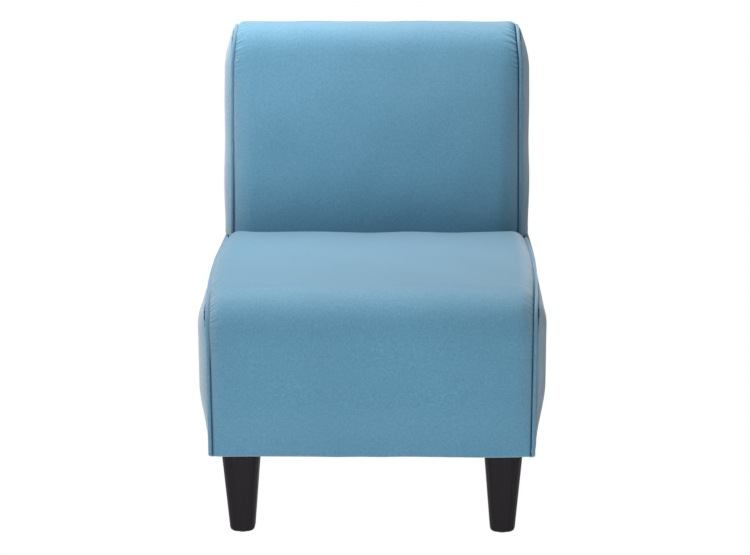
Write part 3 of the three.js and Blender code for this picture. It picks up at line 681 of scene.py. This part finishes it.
def velvet_look(tree, shader, place, colour):
    """Woven cotton velvet, short pile brushed downwards: matt face on, pale at grazing angles."""
    # The pile lies a little this way and that in patches of about 250 mm
    patches = noise(tree, place, 4.0, 2.0)
    # Tufts of the pile lean together in flecks of about 3 mm
    tufts = noise(tree, place, 300.0, 3.0, 0.75)
    nap = ramp(tree, patches, (0.35, [c * 0.97 for c in colour]),
               (0.65, [min(1, c * 1.03) for c in colour]))
    grain = ramp(tree, tufts, (0.32, (0.74,) * 3), (0.68, (1.02,) * 3))
    # Painted shade: in the valley beside a welt the cloth is darkened and loses its sheen, where
    # shade falls
    crease_shade = node(tree, "ShaderNodeAttribute", attribute_name="crease_shade").outputs["Fac"]
    valley_shade = ramp(tree, crease_shade, (0.15, (1.0,) * 3), (0.9, (0.07, 0.2, 0.3)))
    adjust(tree, shader, Base_Color=times(tree, times(tree, nap, grain), valley_shade), Roughness=0.85,
           Specular_IOR_Level=0.2, Sheen_Weight=spread(tree, crease_shade, 0.65, 0.0),
           Sheen_Roughness=0.6, Sheen_Tint=(*linear("F2F7FA"), 1),
           Normal=bump(tree, tufts, 0.35, 0.6 * MM))


def espresso_look(tree, shader, place, colour):
    """Hardwood leg, stained espresso and sprayed with satin lacquer: near black, grain just seen,
    in lines of about 4 mm that run up the leg."""
    grain = noise(tree, stretched(tree, place, (1.0, 1.0, 0.07)), 260.0, 4.0, 0.6)
    tone = ramp(tree, grain, (0.3, [c * 0.75 for c in colour]), (0.7, [c * 1.35 for c in colour]))
    adjust(tree, shader, Base_Color=tone, Roughness=spread(tree, grain, 0.46, 0.56),
           Specular_IOR_Level=0.15, Normal=bump(tree, grain, 0.12, 0.3 * MM))


def plywood_look(tree, shader, place):
    """Raw birch plywood: pale faces with slow figure, in lines of about 8 mm along the width."""
    grain = noise(tree, stretched(tree, place, (0.12, 1.0, 1.0)), 120.0, 5.0, 0.6)
    tone = ramp(tree, grain, (0.3, linear("B98F5C")), (0.7, linear("DDBF91")))
    adjust(tree, shader, Base_Color=tone, Roughness=0.72, Normal=bump(tree, grain, 0.2, 0.4 * MM))


def foam_look(tree, shader, place, light, dark, cell_mm):
    """Open-cell foam or wadding: matt, with cells or fibres of the size given."""
    cells = node(tree, "ShaderNodeTexVoronoi", Vector=place,
                 Scale=1 / (cell_mm * MM)).outputs["Distance"]
    tone = ramp(tree, cells, (0.1, linear(dark)), (0.6, linear(light)))
    adjust(tree, shader, Base_Color=tone, Roughness=0.95,
           Normal=bump(tree, cells, 0.4, cell_mm * MM * 0.3))


def woven_look(tree, shader, place, light, dark, thread_mm):
    """Plain cloth, its threads crossing at the spacing given."""
    bands = [node(tree, "ShaderNodeTexWave", bands_direction=axis, Vector=place,
                  Scale=1 / (thread_mm * MM) / 20, Distortion=0.6, Detail=1.0,
                  Detail_Scale=2.0).outputs["Fac"] for axis in ("X", "Y")]
    weave = larger(tree, *bands)
    tone = ramp(tree, weave, (0.2, linear(dark)), (0.9, linear(light)))
    adjust(tree, shader, Base_Color=tone, Roughness=0.9,
           Normal=bump(tree, weave, 0.35, thread_mm * MM * 0.3))


def steel_look(tree, shader, place):
    """Hard-drawn spring steel and zinc-plated pressings: bright, with drawing marks of 1.4 mm."""
    marks = noise(tree, place, 700.0, 3.0)
    tone = ramp(tree, marks, (0.3, linear("8E9196")), (0.7, linear("B4B7BB")))
    adjust(tree, shader, Base_Color=tone, Metallic=1.0, Roughness=spread(tree, marks, 0.26, 0.42))


def nylon_look(tree, shader, place):
    """Moulded black nylon with a spark-eroded texture of 0.6 mm."""
    grit = noise(tree, place, 1600.0, 2.0)
    tone = ramp(tree, grit, (0.3, linear("262628")), (0.7, linear("303033")))
    adjust(tree, shader, Base_Color=tone, Roughness=0.5, Normal=bump(tree, grit, 0.2, 0.2 * MM))


def seen_white(tree, plain, kind):
    """The plain shader, but one of the kind given, in white, to the rays that show the
    surroundings: those of the camera, of a gloss or of a glass."""
    rays = node(tree, "ShaderNodeLightPath").outputs
    shown = larger(tree, larger(tree, rays["Is Camera Ray"], rays["Is Glossy Ray"]),
                   rays["Is Transmission Ray"])
    white = node(tree, kind, Color=(1, 1, 1, 1), Strength=1.0)
    return node(tree, "ShaderNodeMixShader", {0: shown, 1: plain, 2: white.outputs[0]}).outputs[0]


def floor_material(colour):
    """Matt white studio sheet, seen as plain white by the camera and in reflections, with no shadow
    on it.
    """
    material, tree, shader, _ = blank("white studio sheet")
    adjust(tree, shader, Base_Color=(*colour, 1), Roughness=0.9)
    surface = seen_white(tree, shader.outputs["BSDF"], "ShaderNodeEmission")
    adjust(tree, tree.get_output_node("ALL"), Surface=surface)
    return material


MATERIALS = {}


def material(key):
    """Makes each finish the first time that it is asked for."""
    if key not in MATERIALS:
        finishes = bpy.context.scene.chair_finishes
        name, look, *values = {
            "velvet": ("cotton velvet", velvet_look, list(finishes.velvet)),
            "espresso": ("espresso stained hardwood", espresso_look, list(finishes.espresso)),
            "plywood": ("birch plywood", plywood_look),
            "foam": ("polyurethane foam", foam_look, "EBE2C8", "CFC3A0", 1.2),
            "wadding": ("polyester wadding", foam_look, "F2F1EC", "D9D8D1", 2.5),
            "felt": ("needled insulator felt", foam_look, "98938A", "726D64", 1.8),
            "cambric": ("black dust cloth", woven_look, "232327", "141416", 1.6),
            "elastic": ("elastic webbing", woven_look, "4A4D52", "2A2C30", 1.8),
            "steel": ("drawn and plated steel", steel_look),
            "nylon": ("moulded nylon", nylon_look),
        }[key]
        MATERIALS[key], tree, shader, place = blank(name)
        look(tree, shader, place, *values)
    return MATERIALS[key]


# Operators: one for each piece or group of like pieces

class CHAIR_OT_seat_cover(bpy.types.Operator):
    """Seat cover: top, waterfall edge and front face in one velvet panel"""
    bl_idname = "chair.seat_cover"
    bl_label = "Seat cover"

    def execute(self, context):
        form = Form(context)
        run = profile(form.seat_corners(), 0.0016)
        shares = across(101)
        outer = seat_surface(form, run, shares, 0)
        inner = seat_surface(form, run, shares, form.c.cloth, detail=False)
        # Painted shade in the valleys beside the welts, fading on top of the seat, more on the
        # left, where the light comes from
        left = 1 - 0.8 * smooth((run[:, 4] - 0.7) / 0.5)
        right = 1 - 0.6 * smooth((run[:, 4] - 0.9) / 0.5)
        piece = panel("seat_cover_panel", outer, inner, distances(run), left, right)
        finish_piece(piece, "velvet", "seat_cover")
        return {"FINISHED"}


class CHAIR_OT_back_covers(bpy.types.Operator):
    """Inside back rolled over the top, and the flat outside back below its seam"""
    bl_idname = "chair.back_covers"
    bl_label = "Back covers"

    def execute(self, context):
        form = Form(context)
        corners = form.back_corners()
        run = profile(corners, 0.0014, BACK_EASE)
        shares = across(111)
        outer = back_surface(form, run, shares, 0)
        inner = back_surface(form, run, shares, form.c.cloth, detail=False)
        # Painted shade in the valleys beside the welts: full on the right, fading up the left side,
        # which faces the light
        left = 1 - 0.65 * smooth((run[:, 4] - 0.2) / 0.6)
        right = np.ones(len(run))
        piece = panel("inside_back_panel", outer, inner, distances(run), left, right)
        finish_piece(piece, "velvet", "inside_back_cover")
        seam = corners[-1]
        low = (form.on_rear(seam[1] - CLEAR), seam[1] - CLEAR)
        run = profile([low, form.hem_rear], 0.006)
        run[:, 4] = 3
        shares = across(61)
        outer = back_surface(form, run, shares, 0, detail=False)
        inner = back_surface(form, run, shares, form.c.cloth, detail=False)
        along = distances(run)
        up = along[:, None]
        away = form.panel_half - np.abs(shares[None, :] * form.panel_half)
        outer[..., 1] += (0.8 * MM * slow(outer[..., 0], up, 13) * rise(away, 0.05)
                          * smooth(up / 0.05))
        # Painted shade in the valleys beside the welts, at a steady strength
        shade_weight = np.full(len(run), 0.6)
        piece = panel("outside_back_panel", outer, inner, along, shade_weight, shade_weight)
        finish_piece(piece, "velvet", "outside_back_cover")
        return {"FINISHED"}


class CHAIR_OT_seat_padding(bpy.types.Operator):
    """Seat foam over the springs, and the pad down the front rail"""
    bl_idname = "chair.seat_padding"
    bl_label = "Seat padding"

    def execute(self, context):
        form = Form(context)
        depth = form.padding_depth
        corners = form.seat_corners()
        y, z, radius = corners[2]
        rear = (y - SEAT_SHORT, z, radius)
        low = (rear[0] + (FOAM_LOW - z) * math.tan(form.c.back_recline), FOAM_LOW)
        shares = across(61)

        def pad(name, of, run, bed):
            straight = form.panel_half / (form.seat_half(run[:, :1]) - form.inset)
            outer = seat_surface(form, run, shares, depth, detail=False, limit=straight)
            piece = panel(name, outer, line_grid(bed, form.panel_half, shares), distances(run))
            finish_piece(piece, "foam", of)
            return piece

        run = cut_at(profile([*corners[:2], rear, low], 0.006), FOAM_LOW, True)
        bed_y = np.linspace(RAIL_BEHIND, form.crevice[0] - 2 * form.c.waterfall_radius, len(run))
        piece = pad("seat_foam_block", "seat_foam", run, [(y, FOAM_LOW) for y in bed_y])
        run = cut_at(profile(corners, 0.006), FRONT_RAIL[0].z, True)
        run = cut_at(run, FOAM_LOW - CLEAR, False)
        bed = [(RAIL_BEHIND - CLEAR, z) for z in run[:, 1]]
        piece = pad("front_edge_pad", "front_pad", run, bed)
        return {"FINISHED"}


class CHAIR_OT_back_padding(bpy.types.Operator):
    """Back foam, rolled over the top rail and stopped above the springs"""
    bl_idname = "chair.back_padding"
    bl_label = "Back foam"

    def execute(self, context):
        form = Form(context)
        c = form.c
        depth = form.padding_depth
        post_top = (form.rear_corner[1] - HEM_HEIGHT + CLEAR) / math.cos(c.rear_slope) - POST_DROP
        face = depth + POST_AND_WEBBING + 2 * CLEAR
        start, front, rear, _ = form.back_corners()
        top = post_top + CLEAR
        end = form.back_place(depth, post_top)[1] + CLEAR
        foot = FOAM_LOW + 2 * c.cloth
        run = profile([(form.on_recline(foot), foot), start, front, rear,
                       (form.on_rear(end), end)], 0.006, BACK_EASE)
        run[:, 4] = np.maximum(0, run[:, 4] - 1)
        shares = across(61)
        outer = back_surface(form, run, shares, depth, detail=False)
        low = (FOAM_LOW - HEM_HEIGHT + 2 * CLEAR) / math.cos(c.rear_slope)
        bed = np.array([form.back_place(*at)
                        for at in ((face, low), (face, top), (2 * depth, top))])
        whole = distances(bed)
        places = np.linspace(0, 1, len(run)) * whole[-1]
        bed = np.column_stack([np.interp(places, whole, bed[:, i]) for i in (0, 1)])
        inner = line_grid(bed, form.panel_half, shares)
        piece = panel("back_foam_block", outer, inner, distances(run))
        finish_piece(piece, "foam", "back_foam")
        return {"FINISHED"}


class CHAIR_OT_side_covers(bpy.types.Operator):
    """Side panels of the seat and of the back, swollen past the welts"""
    bl_idname = "chair.side_covers"
    bl_label = "Side covers"

    def execute(self, context):
        form = Form(context)
        cloth = form.c.cloth
        rings = list(1 - (np.linspace(0, 0.97, 40)) ** 1.8)
        for end, side in SIDES:
            def gathers(along, away, seed=70 + side):
                fold = puckers(along, away, seed, form.c.pucker_pitch, slant=0.3, reach=0.014)
                return 0.6 * seam_dip(away) + 0.5 * form.c.pucker_height * fold

            for part, outline, face in (("seat", seat_side_outline, seat_side_x),
                                        ("back", back_side_outline, back_side_x)):
                piece = outline_panel(
                    f"{part}_side_panel_{end}", outline(form, form.inset, CLEAR / 2, step=0.003),
                    rings, lambda y, z: face(form, y, z),
                    lambda y, z: face(form, y, z, False) - cloth, side, gathers)
                finish_piece(piece, "velvet", f"{part}_side_cover_{end}")
        return {"FINISHED"}


class CHAIR_OT_side_padding(bpy.types.Operator):
    """Wadding behind the side panels of the seat and of the back"""
    bl_idname = "chair.side_padding"
    bl_label = "Side padding"

    def execute(self, context):
        form = Form(context)
        depth = form.padding_depth
        rings = [1, 0.93, 0.84, 0.72, 0.58, 0.42, 0.22]
        flat = lambda y, z: 0 * y + form.panel_half + CLEAR
        seat = lambda y, z: form.seat_half(y) * 0.4 + seat_side_x(form, y, z, False) * 0.6 - depth
        back = lambda y, z: SEAM_HALF * 0.4 + back_side_x(form, y, z, False) * 0.6 - depth
        # The wadding stops short of the seams
        short = 14 * MM
        outlines = (("seat", seat_side_outline(form, short, short, short + 2 * CLEAR), seat),
                    ("back", back_side_outline(form, short, short), back))
        for end, side in SIDES:
            for part, outline, face in outlines:
                piece = outline_panel(
                    f"{part}_side_wadding_{end}", outline, rings, face, flat, side)
                finish_piece(piece, "wadding", f"{part}_side_pad_{end}")
        return {"FINISHED"}


def slab(name, low, high, step, lift):
    """Closed cloth slab between two corners, its faces raised by lift(x, y)."""
    columns = [np.linspace(a, b, max(2, round((b - a) / step)) + 1)
               for a, b in zip(low[:2], high[:2])]
    x, y = np.meshgrid(*columns)
    raised = lift(x, y)
    outer = np.stack([x, y - FRONT_SEAM_Y, high[2] + raised], -1)
    inner = np.stack([x, y - FRONT_SEAM_Y, low[2] + raised], -1)
    return panel(name, outer, inner, columns[1])


class CHAIR_OT_webbing(bpy.types.Operator):
    """Elastic straps of the back, stretched from post to post"""
    bl_idname = "chair.webbing"
    bl_label = "Back webbing"

    def execute(self, context):
        form = Form(context)
        s, k = math.sin(form.c.rear_slope), math.cos(form.c.rear_slope)
        up, out = Vector((0, s, k)), Vector((0, -k, s))
        half = 25 * MM
        for number in (1, 2, 3):
            low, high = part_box(f"back_web_{number}")
            middle = (low + high) / 2 - Vector((0, FRONT_SEAM_Y, 0))
            x = np.linspace(low.x, high.x, 120)
            ups = np.linspace(-half, half, 27)
            # The selvedges are a little thinner, and nine rubber cords raise the face
            thick = 0.9 * MM * (0.72 + 0.28 * rise(half - np.abs(ups), 3 * MM))
            thick = thick * (0.94 + 0.06 * np.cos(2 * math.pi * ups * 9 / (2 * half)))
            sheets = [np.array([[[a, *(middle + up * u + out * (sign * t)).yz] for a in x]
                                for u, t in zip(ups, thick)]) for sign in (1, -1)]
            piece = panel(f"back_strap_{number}", *sheets, ups)
            finish_piece(piece, "elastic", f"back_web_{number}")
        return {"FINISHED"}


class CHAIR_OT_inner_cloths(bpy.types.Operator):
    """Felt over the springs and the dust cloth under the frame, holed for the leg bolts"""
    bl_idname = "chair.inner_cloths"
    bl_label = "Insulator and dust cloth"

    def execute(self, context):
        low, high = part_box("spring_insulator")
        piece = slab("insulator_felt", low, high, 0.008,
                     lambda x, y: 0.15 * MM * slow(x, y, 61, 0.02, 0.06))
        finish_piece(piece, "felt", "spring_insulator")
        low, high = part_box("dust_cover")
        across_y = (low.y + high.y) / 2

        def sag(x, y):
            off = np.abs(y - across_y)
            inside = rise(high.x - np.abs(x), 0.16) * rise((high.y - low.y) / 2 - off, 0.16)
            from_leg = np.hypot(np.abs(x) - leg_x, off - leg_y)
            return -2.5 * MM * inside * smooth((from_leg - 0.05) / 0.05)

        centres = [sum(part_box(f"{end}_leg_left"), Vector()) / 2 for end in ("front", "rear")]
        leg_x = abs(centres[0].x)
        leg_y = (centres[1].y - centres[0].y) / 2
        piece = slab("dust_cloth", low, high, 0.012, sag)
        for x, y in [(x, centre.y) for x in (-leg_x, leg_x) for centre in centres]:
            bpy.ops.mesh.primitive_cylinder_add(
                vertices=24, radius=4.3 * MM, depth=0.02, location=(x, y, low.z))
            punch = context.object
            hole = piece.modifiers.new("hole", "BOOLEAN")
            hole.object = punch
            hole.solver = "EXACT"
            context.view_layer.objects.active = piece
            bpy.ops.object.modifier_apply(modifier=hole.name)
            bpy.data.objects.remove(punch)
        finish_piece(piece, "cambric", "dust_cover")
        return {"FINISHED"}


class CHAIR_OT_welts(bpy.types.Operator):
    """Covered cords in the side seams of the seat and of the back"""
    bl_idname = "chair.welts"
    bl_label = "Welts"

    def execute(self, context):
        form = Form(context)
        c = form.c
        seat = profile([(0, HEM_HEIGHT), (0, c.seam_height, c.waterfall_radius),
                        (c.seat_depth - form.inset, c.crevice_height)], 0.0025)
        low = c.crevice_height + c.welt_radius
        back = profile([(form.on_recline(low), low), form.front_corner, form.rear_corner,
                        form.hem_rear], 0.0025, BACK_EASE)
        for end, side in SIDES:
            for part, run, half_at in (("seat", seat, lambda y, z: form.seat_half(y)),
                                       ("back", back, lambda y, z: form.back_half(z))):
                piece = welt(f"{part}_cord_{end}", run, half_at, side, c.welt_radius, form.hem_tuck)
                finish_piece(piece, "velvet", f"{part}_welt_{end}")
        return {"FINISHED"}


class CHAIR_OT_carried_nodes(bpy.types.Operator):
    """Finishes for the frame, springs, legs and fittings that come from the CAD model"""
    bl_idname = "chair.carried_nodes"
    bl_label = "Frame, springs, legs and fittings"

    def execute(self, context):
        slots = {s["node"]: s["material_slot"] for s in frame["record"]["subparts"]}
        for name, obj in frame["nodes"].items():
            obj.data.materials.clear()
            obj.data.materials.append(material(slots[name]))
        return {"FINISHED"}


class CHAIR_OT_studio(bpy.types.Operator):
    """Pale floor, white surroundings, soft lamps and the camera"""
    bl_idname = "chair.studio"
    bl_label = "Studio"

    def execute(self, context):
        scene = context.scene
        scene.view_settings.view_transform = "Standard"
        bpy.ops.object.select_all(action="DESELECT")
        bpy.ops.mesh.primitive_plane_add(size=12, location=(0, 0, 0))
        floor = context.object
        floor.name = "studio_floor"
        floor.data.materials.append(floor_material(list(scene.chair_finishes.floor)))
        lamps = [
            ("key_lamp", (-0.1, 0.0, 2.4), (0, 0.05, 0.45), 1.5, 17),
            ("rear_lamp", (-0.3, 0.7, 2.2), (0, 0.05, 0.45), 1.0, 26),
            ("near_lamp", (-0.7, -0.05, 1.45), (0, 0.1, 0.4), 0.6, 7),
            ("front_lamp", (-0.6, -1.8, 2.3), (0, 0, 0.4), 2.0, 10),
            ("fill_lamp", (-0.1, -2.0, 0.12), (0, -0.25, 0.28), 0.6, 22),
            ("left_lamp", (-2.4, 0.2, 0.4), (0, 0.1, 0.35), 0.7, 2),
            ("right_lamp", (2.2, 0.8, 0.4), (0, 0.1, 0.3), 0.7, 4),
        ]
        for name, place, aim, size, power in lamps:
            light = bpy.data.lights.new(name, "AREA")
            light.shape = "DISK"
            light.size = size
            light.energy = power
            lamp = bpy.data.objects.new(name, light)
            scene.collection.objects.link(lamp)
            lamp.location = place
            lamp.rotation_mode = "QUATERNION"
            lamp.rotation_quaternion = (Vector(aim) - Vector(place)).to_track_quat("-Z", "Y")
        world = bpy.data.worlds.new("studio")
        world.use_nodes = True
        scene.world = world
        tree = world.node_tree
        tree.nodes.clear()
        soft = node(tree, "ShaderNodeBackground", Color=(1, 1, 1, 1), Strength=0.02)
        surface = seen_white(tree, soft.outputs[0], "ShaderNodeBackground")
        node(tree, "ShaderNodeOutputWorld", Surface=surface)
        camera = bpy.data.cameras.new("photo_camera")
        camera.sensor_width = 36
        # Focal length and shifts in pixels of a picture 750 wide
        camera.lens = 1967.4 / 750 * 36
        camera.shift_x = -17.9 / 750
        camera.shift_y = 1.5 / 750
        camera.clip_end = 50
        view = bpy.data.objects.new("photo_camera", camera)
        scene.collection.objects.link(view)
        view.location = (0.0612, -3.4404, 1.2351)
        view.rotation_euler = (math.radians(90 - 14.022), 0, math.radians(0.474))
        scene.camera = view
        return {"FINISHED"}


class CHAIR_PT_panel(bpy.types.Panel):
    """Lists the pieces of the chair"""
    bl_idname = "CHAIR_PT_panel"
    bl_label = "Slipper chair"
    bl_space_type = "VIEW_3D"
    bl_region_type = "UI"
    bl_category = "Chair"

    def draw(self, context):
        for group in (context.scene.chair_covers, context.scene.chair_finishes):
            for name in group.bl_rna.properties.keys():
                if name not in ("rna_type", "name"):
                    self.layout.prop(group, name)
        for operator in STEPS:
            self.layout.operator(operator.bl_idname)


STEPS = [CHAIR_OT_carried_nodes, CHAIR_OT_seat_padding, CHAIR_OT_back_padding,
         CHAIR_OT_side_padding, CHAIR_OT_webbing, CHAIR_OT_inner_cloths, CHAIR_OT_seat_cover,
         CHAIR_OT_back_covers, CHAIR_OT_side_covers, CHAIR_OT_welts, CHAIR_OT_studio]
CLASSES = [ChairCovers, ChairFinishes, *STEPS, CHAIR_PT_panel]


def register():
    for cls in CLASSES:
        bpy.utils.register_class(cls)
    bpy.types.Scene.chair_covers = bpy.props.PointerProperty(type=ChairCovers)
    bpy.types.Scene.chair_finishes = bpy.props.PointerProperty(type=ChairFinishes)


def unregister():
    del bpy.types.Scene.chair_finishes
    del bpy.types.Scene.chair_covers
    for cls in reversed(CLASSES):
        bpy.utils.unregister_class(cls)


def main():
    register()
    for step in STEPS:
        group, name = step.bl_idname.split(".")
        getattr(getattr(bpy.ops, group), name)()


if __name__ == "__main__":
    main()
